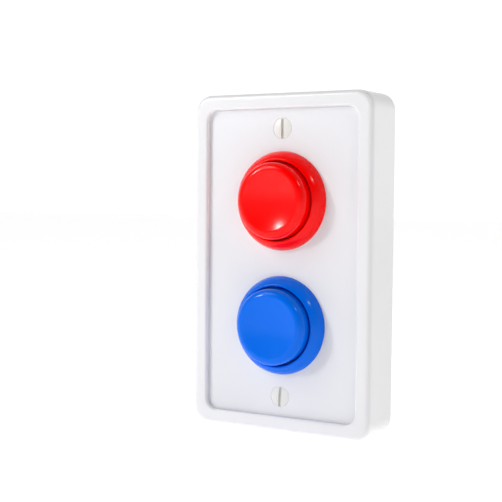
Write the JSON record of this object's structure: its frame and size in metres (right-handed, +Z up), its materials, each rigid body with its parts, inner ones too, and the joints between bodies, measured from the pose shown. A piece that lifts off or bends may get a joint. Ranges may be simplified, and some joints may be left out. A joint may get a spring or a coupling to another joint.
{
  "type": "quiz buzzer",
  "caption": "Upright white answer box with a raised rim, a recessed plate and dished round push buttons, one red and one blue.",
  "frame": {"origin": "middle of the flat lower end of the box, halfway between the rim and the back face", "axes": "+Z up along the box's height, +Y towards its back, +X to the right as seen from the front; the buttons face -Y"},
  "size_m": [0.068, 0.0258, 0.1143],
  "materials": {
    "white_shell": "moulded gloss white ABS",
    "white_plate": "moulded satin white ABS",
    "white_cover": "fine-textured white ABS",
    "white_door": "fine-textured white ABS",
    "white_screw": "off-white enamelled steel",
    "foot_rubber": "moulded black rubber",
    "red_gloss": "polished moulded plastic",
    "blue_gloss": "polished moulded plastic",
    "black_nylon": "moulded nylon",
    "spring_steel": "drawn spring wire",
    "switch_cover_grey": "moulded nylon",
    "stem_acetal": "moulded acetal",
    "contact_brass": "stamped sheet",
    "board_green": "glass-epoxy with green solder mask",
    "zinc_steel": "zinc plated",
    "chip_epoxy": "moulded epoxy",
    "tinned_steel": "tinned",
    "capacitor_can": "drawn can",
    "cell_steel": "nickel-plated steel",
    "foam_pad": "closed-cell foam",
    "sounder_ceramic": "silvered ceramic",
    "wire_cover": "extruded sleeve"
  },
  "bodies": {
    "case": {"housing": "white_shell", "face_plate": "white_plate", "face_screws": "white_screw", "back_cover": "white_cover", "rubber_feet": "foot_rubber", "red_bezel": "red_gloss", "red_ring_nut": "black_nylon", "red_spring": "spring_steel", "red_switch_base": "black_nylon", "red_switch_cover": "switch_cover_grey", "red_switch_pins": "contact_brass", "blue_bezel": "blue_gloss", "blue_ring_nut": "black_nylon", "blue_spring": "spring_steel", "blue_switch_base": "black_nylon", "blue_switch_cover": "switch_cover_grey", "blue_switch_pins": "contact_brass", "circuit_board": "board_green", "board_screws": "zinc_steel", "controller_chip": "chip_epoxy", "chip_legs": "tinned_steel", "capacitors": "capacitor_can", "resistors": "chip_epoxy", "cell_holder": "black_nylon", "button_cell": "cell_steel", "cell_clip": "contact_brass", "cell_leaf": "contact_brass", "sounder_pad": "foam_pad", "sounder_plate": "contact_brass", "sounder_crystal": "sounder_ceramic", "sounder_wires": "wire_cover"},
    "red_button": {"red_button": "red_gloss"},
    "blue_button": {"blue_button": "blue_gloss"},
    "red_stem": {"red_switch_stem": "stem_acetal"},
    "blue_stem": {"blue_switch_stem": "stem_acetal"},
    "battery_door": {"battery_door": "white_door"}
  },
  "joints": [
    {"name": "red_button_press", "type": "slide", "parent": "case", "child": "red_button", "axis": [0, 1, 0], "range_m": [0, 0.0028], "stiffness_N_per_m": 150, "springref_m": -0.004, "deforming": ["red_spring"]},
    {"name": "blue_button_press", "type": "slide", "parent": "case", "child": "blue_button", "axis": [0, 1, 0], "range_m": [0, 0.0028], "stiffness_N_per_m": 150, "springref_m": -0.004, "deforming": ["blue_spring"]},
    {"name": "red_stem_slide", "type": "slide", "parent": "case", "child": "red_stem", "axis": [0, 1, 0], "range_m": [0, 0.0028], "stiffness_N_per_m": 40, "springref_m": -0.004},
    {"name": "blue_stem_slide", "type": "slide", "parent": "case", "child": "blue_stem", "axis": [0, 1, 0], "range_m": [0, 0.0028], "stiffness_N_per_m": 40, "springref_m": -0.004},
    {"name": "battery_door_turn", "type": "hinge", "parent": "case", "child": "battery_door", "pos_m": [0, 0.00815, 0.06715], "axis": [0, 1, 0], "range_deg": [0, 35]}
  ],
  "couplings": [
    {"joint": "red_stem_slide", "follows": "red_button_press", "ratio": 1},
    {"joint": "blue_stem_slide", "follows": "blue_button_press", "ratio": 1}
  ]
}
